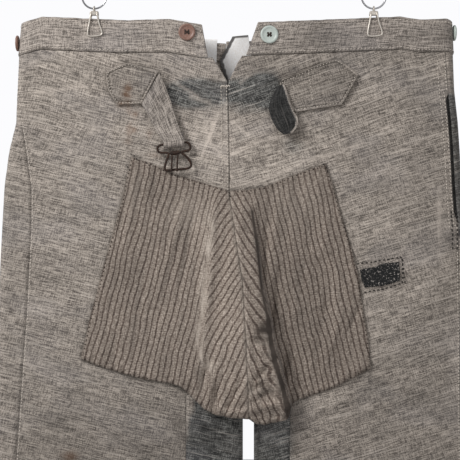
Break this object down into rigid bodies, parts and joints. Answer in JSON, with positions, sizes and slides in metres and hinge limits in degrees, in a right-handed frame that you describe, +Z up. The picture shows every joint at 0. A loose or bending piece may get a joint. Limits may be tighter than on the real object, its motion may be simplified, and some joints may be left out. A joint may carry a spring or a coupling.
{
  "type": "chambray work trousers on two hanging ring clips",
  "caption": "Old chambray work trousers with striped seat patches and a cinch back, hung by the back waist from ring clips.",
  "frame": {"origin": "middle of the level line that both rings hang from, at the inside top of the rings", "axes": "+Z up; -Y out of the back of the trousers, which faces the viewer; +X to the viewer's right"},
  "size_m": [0.4817, 0.0415, 1.1168],
  "materials": {
    "chambray": "faded salt-and-pepper chambray, soft and matt",
    "unfaded_chambray": "slate chambray where no light reached",
    "striped_cloth": "worn corded stripe, taupe with dark brown lines",
    "black_cloth": "worn black cotton",
    "cream_cotton": "unbleached plain cotton",
    "rusted_steel": "rusted wire",
    "copper_button": "worn reddish-brown four-hole button",
    "pale_button": "pale grey-green four-hole button",
    "clip_steel": "pale coated spring wire",
    "ring_steel": "plain steel wire"
  },
  "bodies": {
    "trousers": {"back_panel_left": "chambray", "back_panel_right": "chambray", "front_panel_left": "chambray", "waistband_left": "chambray", "waistband_right": "chambray", "fly_placket": "chambray", "cinch_base_left": "chambray", "cinch_base_right": "chambray", "cinch_strap_left": "chambray", "front_panel_right": "unfaded_chambray", "pocket_facing_right": "unfaded_chambray", "cinch_strap_right": "unfaded_chambray", "seat_patch_left": "striped_cloth", "seat_patch_right": "striped_cloth", "mend_patch": "black_cloth", "front_facing_left": "cream_cotton", "front_facing_right": "cream_cotton", "brace_button_left": "copper_button", "side_button_left": "copper_button", "front_button": "copper_button", "brace_button_right": "pale_button", "side_button_right": "pale_button", "clip_left": "clip_steel", "clip_right": "clip_steel", "ring_left": "ring_steel", "ring_right": "ring_steel"},
    "buckle": {"buckle_frame": "rusted_steel"},
    "prongs": {"buckle_prongs": "rusted_steel"}
  },
  "joints": [
    {"name": "buckle_swing", "type": "hinge", "parent": "trousers", "child": "buckle", "pos_m": [-0.05965, -0.00713, -0.15915], "axis": [0.9953, 0, 0.0968], "range_deg": [-100, 0]},
    {"name": "prong_swing", "type": "hinge", "parent": "buckle", "child": "prongs", "pos_m": [-0.0587, -0.00713, -0.1683], "axis": [0.9946, 0, 0.1039], "range_deg": [-75, 0]}
  ]
}
